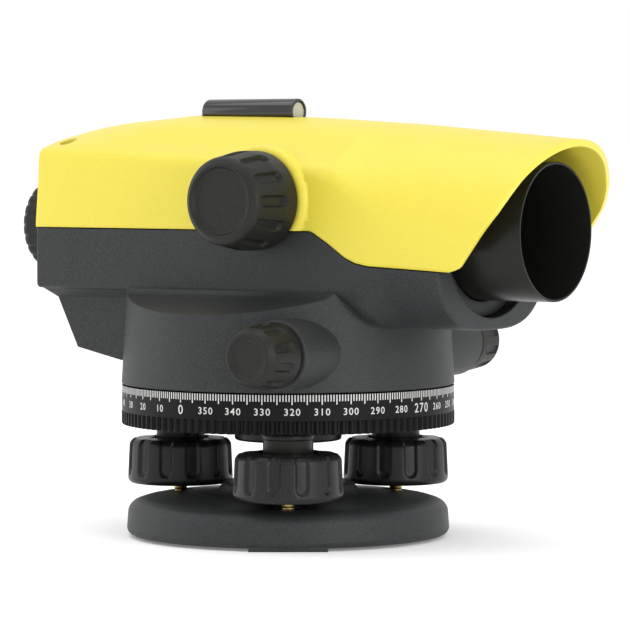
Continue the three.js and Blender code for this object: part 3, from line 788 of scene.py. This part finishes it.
@dataclass
class Housing:
    """The outer form of the telescope body, from the flat flanks to the round barrel."""

    axis_z: float = 90.5
    back: float = -70.0
    front: float = 71.0
    ledge: float = 18.1
    barrel: float = 28.0
    wall: float = 2.6
    seam_end: float = 28.6
    crease_round: float = 2.2
    ridge: Profile = (
        (-70, 118.6), (-63, 120.5), (-54, 121.8), (-31, 123.7), (2, 123.2), (18.5, 122.5), (48.4, 120.7), (87.7, 117.4),
        (104, 116.0),
    )
    half_width: Profile = (
        (-70, 29.6), (-60, 30), (62, 29.8), (80, 30), (104, 30.6),
    )
    flank: Profile = (
        (-70, 22.7), (-50, 22.2), (-21, 20.6), (10, 19), (25, 18), (36, 15.5), (45, 8.5), (55, 3), (64, 0), (120, 0),
    )
    seam: Profile = (
        (-90, 90.5), (28.6, 90.5), (34.6, 87.0), (40.2, 83.2), (43.7, 81.7), (48, 80.9), (74.8, 79.6), (90, 79.6),
    )
    hood_edge: Profile = (
        (79.6, 74.6), (79.8, 76.4), (81.0, 78.0), (83.2, 79.7), (86.5, 82.2), (89.9, 84.8), (93.3, 87.4),
        (96.7, 89.9), (100.1, 91.8), (103.4, 93.4), (106.8, 94.8), (110.1, 96.4), (112.5, 97.6), (115, 98.9),
        (116.8, 99.8),
    )

    def quarter(self, x: float, inset: float = 0.0, steps: int = 28) -> list[Vector]:
        """Return the underside at station x, from the left flank down and in to the keel.

        Args:
            x: The station.
            inset: Distance inside the outer surface.
            steps: Segments in the lower corner.

        Returns:
            The start on the line of sight, the corner's points and the keel.
        """
        half = along(self.half_width, x) - inset
        depth = self.ledge + (self.barrel - self.ledge) * smoothstep(x, 35, 47) - inset
        widest = min(half, depth)
        barrel = smoothstep(x, 33, 56)
        corner = min(max(0.4, 1.3 + (widest - 1.3) * barrel - 0.5 * inset), widest - 0.02)
        fullness = 1 - 0.29 * barrel
        points = [Vector((x, half, self.axis_z))]
        for i in range(steps + 1):
            turn = math.pi / 2 * i / steps
            out, down = (abs(v) ** fullness * corner for v in (math.cos(turn), math.sin(turn)))
            points.append(Vector((x, half - corner + out, self.axis_z - depth + corner - down)))
        return points + [Vector((x, 0, self.axis_z - depth))]

    def roof(self, x: float, turn: float, inset: float = 0.0) -> Vector:
        """Return the roof at station x, from the crease (turn 0) to the ridge (a quarter turn)."""
        rounded = smoothstep(x, 16, 62)
        half = along(self.half_width, x) - inset
        ridge = along(self.ridge, x) - self.axis_z - inset
        low = self.upright(x, inset)
        y = half * math.cos(turn)
        rise = low + (ridge - low) * max(0.0, 1 - math.cos(turn) ** 2) ** (1 - 0.5 * rounded)
        hollow = 1.5 * smoothstep(x, -46, -28) * (1 - smoothstep(x, 20, 60))
        return Vector((x, y, self.axis_z + rise - hollow * math.exp(-((y - 22.5) / 4.6) ** 2)))

    def upright(self, x: float, inset: float = 0.0) -> float:
        """Return the height of the upright flank above the line of sight."""
        return max(0.0, along(self.flank, x) - 0.6 * inset)

    def hang(self, x: float, bottom: float, rows: int, flank_rows: int, inset: float = 0.0) -> list[Vector]:
        """Return a row of points over the roof, from the left lower edge to the right one.

        Args:
            x: The station.
            bottom: Height at which the row starts and ends.
            rows: Number of spaces in the row.
            flank_rows: Number of spaces on each flank, up to the crease.
            inset: Distance inside the outer surface.

        Returns:
            The points, one more than rows.
        """
        line = []
        if bottom < self.axis_z - 1e-6:
            below = self.quarter(x, inset)
            index = next(i for i, p in enumerate(below) if p.z < bottom)
            share = (below[index - 1].z - bottom) / (below[index - 1].z - below[index].z)
            line = [below[index - 1].lerp(below[index], share)] + below[index - 1:0:-1]
        start = self.roof(x, 0.0, inset)
        line.append(Vector((x, start.y, self.axis_z)))
        crease = len(line)
        line += [self.roof(x, math.pi / 2 * (i / 160) ** 1.3, inset) for i in range(161)]
        line, crease = self.rounded(line, crease)
        reach = [0.0]
        for a, b in zip(line, line[1:]):
            reach.append(reach[-1] + (b - a).length)
        flank = max(reach[crease], reach[crease] - self.upright(x, inset) + 9.0)
        roof_rows = rows // 2 - flank_rows
        stops = [0.0, 0.7, 0.85]
        stops += [0.85 + (flank - 0.85) * i / (flank_rows - 2) for i in range(1, flank_rows - 2)]
        stops += [flank + (reach[-1] - flank) * i / roof_rows for i in range(roof_rows + 1)]
        points, index = [], 0
        for stop in stops:
            while index < len(reach) - 2 and reach[index + 1] < stop:
                index += 1
            span = reach[index + 1] - reach[index]
            points.append(line[index].lerp(line[index + 1], min(1.0, (stop - reach[index]) / span) if span else 0))
        return points + [Vector((p.x, -p.y, p.z)) for p in reversed(points[:-1])]

    def rounded(self, line: list[Vector], crease: int) -> tuple[list[Vector], int]:
        """Round the crease between flank and roof.

        Args:
            line: The outline.
            crease: Index of the crease's point.

        Returns:
            The rounded outline and the new place of the crease's middle.
        """
        corner = line[crease]
        reach = min(self.crease_round, (corner - line[crease - 1]).length * 0.9)
        if reach < 0.3:
            return line, crease
        after = next(i for i in range(crease, len(line)) if (line[i] - corner).length > reach)
        start = corner + (line[crease - 1] - corner).normalized() * reach
        arc = [start * (1 - t) ** 2 + corner * 2 * t * (1 - t) + line[after] * t ** 2 for t in (i / 8 for i in range(8))]
        return line[:crease] + arc + line[after:], crease + 4


@dataclass
class TurningBody:
    """The grey casting: skirt, flat housing, chin and the two bosses of the fine drive."""

    form: Housing = field(default_factory=Housing)
    skirt_low: float = 49.0
    skirt_high: float = 47.3
    skirt_bottom: float = 45.0
    shoulder: float = 66.5
    ceiling: float = 61.5
    boss: tuple[float, float, float] = (28.6, 56.0, 10.1)
    boss_end: float = 46.3

    def housing(self, inset: float, stations: Sequence[float], ease: float) -> bmesh.types.BMesh:
        """Return the closed body form through a row of stations.

        Args:
            inset: Distance inside the outer surface.
            stations: Places along the line of sight.
            ease: Radius of the rounding at both ends.
        """
        form, rows, back, front = self.form, 192, stations[0], stations[-1]
        rings = []
        for x in stations:
            near_end = min(x - back, front - x)
            rim = ease - math.sqrt(max(0.0, ease ** 2 - max(0.0, ease - near_end) ** 2)) if ease else 0.0
            upper = form.hang(x, form.axis_z, rows // 2, 14, inset + rim)
            left = form.quarter(x, inset + rim, rows // 4 - 2)[1:]
            right = [Vector((p.x, -p.y, p.z)) for p in left[:-1]]
            rings.append(upper + right + left[::-1])

        def surface(u: float, v: float) -> Vector:
            """Place a grid point on the form."""
            return rings[round(u * (len(stations) - 1))][round(v * rows) % rows]

        return close(patch(len(stations) - 1, rows, surface))

    def skirt(self) -> bmesh.types.BMesh:
        """Return the skirt over the circle, its shoulder sloping down on both sides of the housing."""
        corners = [
            (0, self.skirt_bottom), (self.skirt_low - 0.3, self.skirt_bottom),
            (self.skirt_low, self.skirt_bottom + 0.3), (self.skirt_high, 73), (0, 73),
        ]
        blank = shown("skirt_blank", turned(corners, 192))
        half = [(54, 64.9), (44, 67.7), (36, 70.0), (32.5, 71.1), (30.8, 71.9), (29.6, 73.2)]
        slopes = prism([(-58, 40), (58, 40)] + half + [(-y, z) for y, z in reversed(half)], -60, 60)
        bmesh.ops.rotate(slopes, verts=slopes.verts, cent=(0, 0, 0), matrix=Matrix.Rotation(math.pi / 2, 3, "Z"))
        carve(blank, [("INTERSECT", slopes)])
        return reclaimed(blank)

    def chin(self) -> bmesh.types.BMesh:
        """Return the sloping block behind the skirt, with its tapered neck under the housing."""
        outline = [(-20, 49.9), (-43, 51.4), (-59.1, 54.8), (-66.5, 69.6), (-20, 69.6)]
        block_bm = prism(outline[::-1], -25, 25)
        neck = block((-70, -1, 69.6), (-20, 1, 73.2))
        for vert in neck.verts:
            top = vert.co.z > 71
            vert.co.y = math.copysign(29.2 if top else 25, vert.co.y)
            if vert.co.x < -60:
                vert.co.x = -70.6 if top else -66.5
        return joined([block_bm, neck])

    def build(self, shop: Workshop) -> None:
        """Build and dress the casting."""
        form = self.form
        ends = [0.0, 0.05, 0.15, 0.35, 0.6, 0.9, 1.3]
        back = form.back - 1.4
        middle = [back + 2.8 + i * 1.517 for i in range(91)]
        stations = [back + e for e in ends] + middle + [form.front - e for e in reversed(ends)]
        piece = shown("body_casting", self.housing(0.0, stations, 0.9))
        x, z, boss_radius = self.boss
        boss = turned(eased([(0, -self.boss_end), (boss_radius, -self.boss_end), (boss_radius, self.boss_end),
                             (0, self.boss_end)], 0.7, 3), 72)
        seam = [point for point in form.seam if point[0] < 80]
        lid = [(a, b - 0.3) for a, b in seam] + [(90, 79.3), (90, 150), (-90, 150)]
        under = [(0, 40), (46.2, 40), (44.5, self.ceiling), (0, self.ceiling)]
        tools = [
            ("UNION", self.skirt()),
            ("UNION", self.chin()),
            ("UNION", placed(boss, Axis.Y, (x, 0, z))),
            ("DIFFERENCE", self.housing(form.wall, [form.back + form.wall + i * 2.985 for i in range(41)], 0.0)),
            ("DIFFERENCE", placed(turned([(0, 46), (24.6, 46), (24.6, 80), (0, 80)], 96), Axis.X, (0, 0, form.axis_z))),
            ("DIFFERENCE", turned(under, 144)),
            ("DIFFERENCE", placed(turned([(0, -60), (5.4, -60), (5.4, 60), (0, 60)], 48), Axis.Y, (x, 0, z))),
            ("DIFFERENCE", prism(lid[::-1], -60, 60)),
            ("DIFFERENCE", placed(turned([(0, -80), (10.7, -80), (10.7, -60), (0, -60)], 72), Axis.X, (0, 0, form.axis_z))),
        ]
        carve(piece, tools)
        soften(piece, 0.7, 3, 40)
        shop.fit(piece, Surface.BODY_CASTING, "alidade", "main_body")


@dataclass
class TopCover:
    """The yellow cover with its hood over the sunshade."""

    form: Housing = field(default_factory=Housing)
    wall: float = 2.0
    focus: tuple[float, float] = (12.0, 99.0)
    screw: tuple[float, float] = (-64.1, 23.0)
    sight: tuple[float, float, float, float] = (-29.3, 7.1, 124.6, 4.25)

    rows: int = 168
    columns: int = 140
    flank_rows: int = 28
    known_rows: dict[float, list[Vector]] = field(default_factory=dict)

    def front_of(self, row: int) -> float:
        """Return where the hood ends along one row of the cover."""
        x = 92.0
        for _ in range(12):
            height = self.row_at(x)[row].z
            x += 0.6 * (along(self.form.hood_edge, min(height, 116.8)) - x)
        return x

    def row_at(self, x: float) -> list[Vector]:
        """Return the points of the outer surface at station x."""
        if x not in self.known_rows:
            self.known_rows[x] = self.form.hang(x, along(self.form.seam, x), self.rows, self.flank_rows)
        return self.known_rows[x]

    def sheet(self) -> bmesh.types.BMesh:
        """Return the outer surface as a clean grid, with its flat back."""
        form, rows, columns = self.form, self.rows, self.columns
        half = [self.front_of(row) for row in range(rows // 2 + 1)]
        fronts = half + half[-2::-1]
        split = 0.56

        def surface(u: float, v: float) -> Vector:
            """Place a grid point on the cover."""
            row = round(v * rows)
            if u <= split:
                x = form.back + (form.seam_end - form.back) * u / split
            else:
                x = form.seam_end + (fronts[row] - form.seam_end) * (u - split) / (1 - split)
            point = self.row_at(x)[row].copy()
            if row in (0, rows):
                point.y *= 1 - 0.22 / abs(point.y)
            lean = 1 - smoothstep(point.z, 84, 113)
            point.x -= 1.6 * lean * max(0.0, 1 - (x - form.back) / 12)
            return point

        bm = patch(columns, rows, surface)
        back = [e for e in bm.edges if e.is_boundary and all(v.co.x < form.back + 0.01 for v in e.verts)]
        ends = sorted((v for e in back for v in e.verts if abs(v.co.z - form.axis_z) < 0.01), key=lambda v: v.co.y)
        bmesh.ops.contextual_create(bm, geom=back + [bm.edges.new((ends[0], ends[-1]))])
        bmesh.ops.recalc_face_normals(bm, faces=bm.faces)
        top = max(bm.faces, key=lambda f: f.calc_center_median().z)
        if top.normal.z < 0:
            bmesh.ops.reverse_faces(bm, faces=bm.faces)
        return bm

    def build(self, shop: Workshop) -> None:
        """Build and dress the cover."""
        piece = shown("cover_shell", self.sheet())
        solid = piece.modifiers.new("wall", "SOLIDIFY")
        solid.thickness = self.wall * MM
        solid.offset = -1
        solid.use_even_offset = True
        soften(piece, 0.75, 3, 40)
        bpy.context.view_layer.update()
        mesh = bpy.data.meshes.new_from_object(piece.evaluated_get(bpy.context.evaluated_depsgraph_get()))
        piece.modifiers.clear()
        piece.data = mesh
        x, z = self.focus
        back, front, sight_z, sight_r = self.sight
        collar = turned(eased([(0, -31.2), (14.2, -31.2), (15.6, -30.4), (16.2, -28.4), (16.2, -27.6), (0, -27.6)], 0.8, 4), 96)
        keep_above = prism([(-90, 90.5), (90, 90.5), (90, 150), (-90, 150)][::-1], -60, 60)
        collar_piece = shown("collar_blank", placed(collar, Axis.Y, (x, 0, z)))
        carve(collar_piece, [("INTERSECT", keep_above)])
        tools = [
            ("UNION", reclaimed(collar_piece)),
            ("DIFFERENCE", placed(turned([(0, -40), (6.3, -40), (6.3, -20), (0, -20)], 48), Axis.Y, (x, 0, z))),
            ("DIFFERENCE", placed(turned([(0, back), (sight_r, back), (sight_r, front - 2.6), (0, front - 2.6)], 64), Axis.X, (0, 0, sight_z))),
            ("DIFFERENCE", placed(turned([(0, -80), (10.7, -80), (10.7, -60), (0, -60)], 72), Axis.X, (0, 0, self.form.axis_z))),
        ]
        screw_x, screw_y = self.screw
        for y in (-screw_y, screw_y):
            tools.append(("DIFFERENCE", placed(turned([(0, 100), (2.6, 100), (2.6, 130), (0, 130)], 40), Axis.Z, (screw_x, y, 0))))
        carve(piece, tools)
        shop.fit(piece, Surface.COVER_PLASTIC, "alidade", "top_cover")
        for name, y in (("near", -screw_y), ("far", screw_y)):
            head = turned(eased([(0, 98), (1.45, 98), (1.45, 110.8), (2.6, 110.8), (2.6, 113), (1.6, 113), (1.2, 112), (0, 112)], 0.25, 2), 40)
            screw = shown(f"cover_screw_{name}_head", placed(head, Axis.Z, (screw_x, y, 0)))
            shop.fit(screw, Surface.STEEL, "alidade", f"cover_screw_{name}")


# ------------------------------------------------------------------ knobs, tubes and sight


@dataclass
class FineDrive:
    """The two small knobs on the shaft of the endless horizontal drive."""

    x: float = 28.6
    z: float = 56.0
    inner: float = 47.1
    outer: float = 60.3
    low: float = 9.45
    high: float = 8.0

    def knob(self) -> bmesh.types.BMesh:
        """Return one knob along Z, its face outward."""
        corners = [
            (0, 56.4), (2.5, 56.4), (2.5, self.inner), (self.low - 0.4, self.inner),
            (self.low, self.inner + 0.6), (self.low - 0.15, self.inner + 3.0), (self.high + 0.5, self.outer - 2.2),
            (self.high - 0.9, self.outer), (6.1, self.outer), (5.2, self.outer - 0.9), (0, self.outer - 0.9),
        ]
        bm = turned(dense(eased(corners, 0.6, 4), 0.45), 200)
        Flutes(10, 0.75, 1.4, self.inner + 4.4, 0.35, math.radians(18), 6.4, self.outer - 3.4).press(bm)
        return bm

    def build(self, shop: Workshop) -> None:
        """Build and dress both knobs."""
        for name, flip in (("far", 0.0), ("near", math.pi)):
            bm = placed(self.knob(), Axis.Y, (0, 0, 0))
            bmesh.ops.rotate(bm, verts=bm.verts, cent=(0, 0, 0), matrix=Matrix.Rotation(flip, 3, "Z"))
            bmesh.ops.translate(bm, verts=bm.verts, vec=(self.x, 0, self.z))
            knob = shown(f"drive_grip_{name}", bm, 48)
            shop.fit(knob, Surface.GRIP_RUBBER, "fine_drive", f"drive_knob_{name}")


@dataclass
class FocusDrive:
    """The large fluted focusing knob on the right flank."""

    x: float = 12.0
    z: float = 99.0
    inner: float = 31.6
    outer: float = 50.6
    radius: float = 14.2
    rim: float = 11.7

    def build(self, shop: Workshop) -> None:
        """Build and dress the knob."""
        corners = [
            (0, 45.2), (3.3, 45.2), (3.3, self.inner), (self.radius - 0.7, self.inner), (self.radius, self.inner + 0.9),
            (self.radius, self.outer - 11.5), (self.radius - 0.9, self.outer - 6.5), (self.rim + 0.7, self.outer - 1.3),
            (self.rim - 1.2, self.outer), (9.9, self.outer - 0.1), (9.1, self.outer - 1.2), (8.6, self.outer - 1.35),
            (0, self.outer - 1.35),
        ]
        bm = turned(dense(eased(corners, 1.2, 5), 0.55), 288)
        Flutes(12, 1.1, 1.7, self.inner + 7.4, 0.4, 0.0, 9.9, self.outer - 4.0).press(bm)
        placed(bm, Axis.Y, (0, 0, 0))
        bmesh.ops.rotate(bm, verts=bm.verts, cent=(0, 0, 0), matrix=Matrix.Rotation(math.pi, 3, "Z"))
        bmesh.ops.translate(bm, verts=bm.verts, vec=(self.x, 0, self.z))
        knob = shown("focus_grip", bm, 48)
        shop.fit(knob, Surface.GRIP_RUBBER, "focus_drive", "focus_knob")


@dataclass
class Telescope:
    """The black sunshade tube, its baffle and the dark objective behind them."""

    axis_z: float = 90.5

    def tube(self, name: str, outer: float, inner: float, low: float, high: float, node: str, shop: Workshop,
             surface: Surface = Surface.BLACK_METAL, edge: float = 0.3, body: str = "alidade") -> None:
        """Build one turned tube along the line of sight."""
        bm = placed(turned(ring_profile(outer, inner, low, high, edge), 128), Axis.X, (0, 0, self.axis_z))
        shop.fit(shown(name, bm), surface, body, node)

    def build(self, shop: Workshop) -> None:
        """Build and dress the tubes."""
        self.tube("sunshade_shell", 19.65, 18.9, 42, 91.7, "sunshade_tube", shop)
        self.tube("front_baffle_ring", 24.3, 19.95, 65.3, 67.7, "front_baffle", shop, Surface.BODY_CASTING, 0.2)
        self.tube("objective_mount", 18.6, 17, 44, 54, "objective_cell", shop)
        self.tube("eyepiece_barrel", 10.4, 8.6, -83, -57, "eyepiece_sleeve", shop)
        self.tube("ocular_mount", 8.3, 6.6, -86.4, -64, "ocular_cell", shop, body="ocular")
        lens = turned([(0, 45), (8, 45.4), (16.7, 47.5), (16.7, 51), (12, 52.6), (6, 53.4), (0, 53.6)], 96)
        shop.fit(shown("objective_glass", placed(lens, Axis.X, (0, 0, self.axis_z))), Surface.GLASS, "alidade", "objective_lens")
        eye = turned(eased([(0, -84), (3, -83.7), (6.3, -82.6), (6.3, -79.6), (0, -79)], 0.4, 2), 72)
        shop.fit(shown("eye_glass", placed(eye, Axis.X, (0, 0, self.axis_z))), Surface.GLASS, "ocular", "eye_lens")


@dataclass
class Eyepiece:
    """The ribbed dioptre ring at the back."""

    axis_z: float = 90.5
    radius: float = 13.8
    back: float = -90.2
    front: float = -74.5

    def build(self, shop: Workshop) -> None:
        """Build and dress the ring."""
        corners = [
            (10.7, -80), (10.7, self.front), (self.radius - 0.5, self.front), (self.radius, self.front - 0.6),
            (self.radius, self.back + 1.6), (self.radius - 0.9, self.back + 0.3), (self.radius - 2.6, self.back),
            (9.1, self.back + 0.4), (9.1, self.back + 3), (10.7, self.back + 3), (10.7, -80),
        ]
        bm = turned(dense(eased(corners, 0.7, 4), 0.6), 240)
        Flutes(24, 0.55, 0.95, self.back + 1.0, 0.5, 0.0, 11.0).press(bm)
        for vert in bm.verts:
            vert.co.y = -vert.co.y
        bmesh.ops.recalc_face_normals(bm, faces=bm.faces)
        shop.fit(shown("dioptre_grip", placed(bm, Axis.X, (0, 0, self.axis_z)), 48), Surface.GRIP_RUBBER, "dioptre", "dioptre_ring")


@dataclass
class Sight:
    """The glossy optical sight that lies in the roof."""

    z: float = 124.6
    radius: float = 3.87
    back: float = -29.0
    front: float = 4.1

    def build(self, shop: Workshop) -> None:
        """Build and dress the tube and its two lenses, drawn as opaque discs whose pale colour is painted reflection.
        """
        corners = [
            (2.9, -10), (2.9, self.back), (self.radius - 0.5, self.back), (self.radius, self.back + 0.6),
            (self.radius, self.front - 0.3), (self.radius - 0.3, self.front), (3.2, self.front),
            (2.9, self.front - 0.4), (2.9, -10),
        ]
        tube = placed(turned(eased(corners, 0.4, 3), 96), Axis.X, (0, 0, self.z))
        shop.fit(shown("sight_barrel", tube), Surface.SIGHT_PLASTIC, "alidade", "sight_tube")
        for name, low, high in (("front", self.front - 2.2, self.front - 0.35), ("rear", self.back + 0.8, self.back + 2.2)):
            lens = turned(eased([(0, low), (2.8, low), (2.8, high), (0, high)], 0.2, 2), 64)
            piece = shown(f"sight_{name}_window", placed(lens, Axis.X, (0, 0, self.z)))
            # The lens discs are opaque and carry a painted reflection instead of clear glass.
            shop.fit(piece, Surface.LENS_CAP, "alidade", f"sight_{name}_lens")


@dataclass
class Bubble:
    """The circular bubble on the left flank with its mirror."""

    x: float = -38.0
    y: float = 43.6
    z: float = 92.0
    radius: float = 10.8

    def build(self, shop: Workshop) -> None:
        """Build and dress the holder, the vial and the mirror."""
        outer, top = self.radius + 2, self.z + 11
        cup = turned(eased([
            (0, self.z), (outer, self.z), (outer, top), (self.radius, top), (self.radius, self.z + 2.4),
            (0, self.z + 2.4)], 0.8, 4), 96)
        piece = shown("bubble_cup", placed(cup, Axis.Z, (self.x, self.y, 0)))
        arm = block((self.x - 8, 30.4, self.z), (self.x + 8, 35, top), 0.5)
        stem = block((self.x - 13, 30.4, self.z), (self.x + 13, 33.4, self.z + 26), 1.2)
        carve(piece, [("UNION", arm), ("UNION", stem)])
        shop.fit(piece, Surface.BODY_CASTING, "alidade", "bubble_holder")
        vial = turned(eased([
            (0, self.z + 2.8), (10.4, self.z + 2.8), (10.4, self.z + 10), (9.4, self.z + 11.6), (5, self.z + 12.1),
            (0, self.z + 12.2)], 0.6, 3), 72)
        shop.fit(shown("bubble_glass", placed(vial, Axis.Z, (self.x, self.y, 0))), Surface.GLASS, "alidade", "bubble_vial")
        plate = prism([
            (self.x - 9, self.z + 15.5), (self.x + 8, self.z + 24.5), (self.x + 7.4, self.z + 26),
            (self.x - 9.8, self.z + 17)][::-1], 33.8, 51)
        bmesh.ops.bevel(plate, geom=list(plate.edges), offset=0.25, segments=2, profile=0.5, affect="EDGES", material=-1)
        shop.fit(shown("bubble_mirror_plate", plate), Surface.MIRROR, "alidade", "bubble_mirror")


@dataclass
class InnerWorks:
    """The parts inside, which keep their solids and get their finish."""

    finishes: dict[Surface, tuple[str, ...]] = field(default_factory=lambda: {
        Surface.BRASS: ("axis_bush", "worm_wheel", "drive_bush_near", "drive_bush_far", "focus_bush", "pendulum",
                        "foot_cup_1", "foot_cup_2", "foot_cup_3"),
        Surface.STEEL: ("clutch_spring", "clutch_collar", "axis_spindle", "drive_shaft", "focus_pinion_shaft",
                        "focus_rack", "pendulum_pin", "damper_magnet", "seat_washer_2", "seat_washer_3"),
        Surface.BLACK_METAL: ("focusing_cell", "reticle_mount"),
        Surface.GLASS: ("focusing_lens", "reticle"),
        Surface.PRISM_GLASS: ("pendulum_prism",),
        Surface.BODY_CASTING: ("compensator_frame",),
    })

    def build(self, shop: Workshop) -> None:
        """Dress the inner parts."""
        for surface, nodes in self.finishes.items():
            shop.keep(surface, *nodes)


# ------------------------------------------------------------------ studio


@dataclass
class Studio:
    """Pale floor, soft lights and the camera.

    Attributes:
        azimuth: Direction of the camera from straight right of the instrument, in degrees.
        distance: From the vertical axis, in millimetres.
        height: Of the lens above the floor.
        yaw: Turn of the camera to its right, away from the axis.
        pitch: Tilt downward.
    """

    azimuth: float = 35.2
    distance: float = 1047.0
    height: float = 113.4
    yaw: float = 0.433
    pitch: float = 2.654
    lens: float = 203.43

    def camera(self) -> None:
        """Stand the camera at the viewing place."""
        turn = math.radians(self.azimuth)
        place = Vector((math.sin(turn) * self.distance, -math.cos(turn) * self.distance, self.height))
        forward = Vector((-math.sin(turn), math.cos(turn), 0))
        right = Vector((math.cos(turn), math.sin(turn), 0))
        yaw, pitch = math.radians(self.yaw), math.radians(self.pitch)
        level_look = forward * math.cos(yaw) + right * math.sin(yaw)
        look = level_look * math.cos(pitch) - Vector((0, 0, 1)) * math.sin(pitch)
        data = bpy.data.cameras.new("view")
        data.lens = self.lens
        data.sensor_width = 36.0
        data.clip_start = 0.01
        camera = bpy.data.objects.new("view", data)
        camera.matrix_world = Matrix.Translation(TO_FRAME @ place) @ look.to_track_quat("-Z", "Y").to_matrix().to_4x4()
        bpy.context.scene.collection.objects.link(camera)
        bpy.context.scene.camera = camera

    def floor(self) -> None:
        """Lay the flat pale floor."""
        bm = bmesh.new()
        bmesh.ops.create_grid(bm, x_segments=2, y_segments=2, size=6000)
        floor = shown("floor", bm)
        plain = bpy.data.materials.new("studio_paper")
        plain.use_nodes = True
        plain.node_tree.nodes["Principled BSDF"].inputs["Base Color"].default_value = (0.93, 0.93, 0.93, 1)
        plain.node_tree.nodes["Principled BSDF"].inputs["Emission Color"].default_value = (1, 1, 1, 1)
        plain.node_tree.nodes["Principled BSDF"].inputs["Emission Strength"].default_value = 0.16
        plain.node_tree.nodes["Principled BSDF"].inputs["Roughness"].default_value = 0.9
        floor.data.materials.append(plain)

    def light(self, name: str, place: Sequence[float], size: float, power: float) -> None:
        """Hang one soft square light that faces the instrument.

        Args:
            name: The light's name.
            place: Where it hangs, in millimetres.
            size: Side of the light, in millimetres.
            power: Its power in watts.
        """
        data = bpy.data.lights.new(name, "AREA")
        data.size = size * MM
        data.energy = power
        lamp = bpy.data.objects.new(name, data)
        start = TO_FRAME @ Vector(place)
        aim = Vector((0, 0, 0.08)) - start
        lamp.matrix_world = Matrix.Translation(start) @ aim.to_track_quat("-Z", "Y").to_matrix().to_4x4()
        bpy.context.scene.collection.objects.link(lamp)

    def build(self) -> None:
        """Set the studio up."""
        self.camera()
        self.floor()
        world = bpy.data.worlds.new("studio_air")
        world.use_nodes = True
        world.node_tree.nodes["Background"].inputs["Color"].default_value = (1, 1, 1, 1)
        world.node_tree.nodes["Background"].inputs["Strength"].default_value = 1.0
        bpy.context.scene.world = world
        bpy.context.scene.view_settings.view_transform = "Standard"
        self.light("top_box", (-100, -150, 950), 900, 3.0)
        self.light("left_box", (-1000, -500, 260), 900, 2.2)
        self.light("front_box", (1000, -250, 260), 600, 3.4)


def main() -> None:
    """Build the whole instrument and its studio."""
    logging.basicConfig(level=logging.INFO, format="%(message)s")
    Studio().build()
    shop = Workshop()
    base = LevellingBase()
    base.build(shop)
    for index, angle in enumerate(base.foot_angles):
        FootScrew(index + 1, angle).build(shop)
    for assembly in (
        Tribrach(), GraduatedCircle(), TurningBody(), TopCover(), FineDrive(), FocusDrive(), Telescope(),
        Eyepiece(), Sight(), Bubble(), InnerWorks(),
    ):
        assembly.build(shop)


if __name__ == "__main__":
    main()
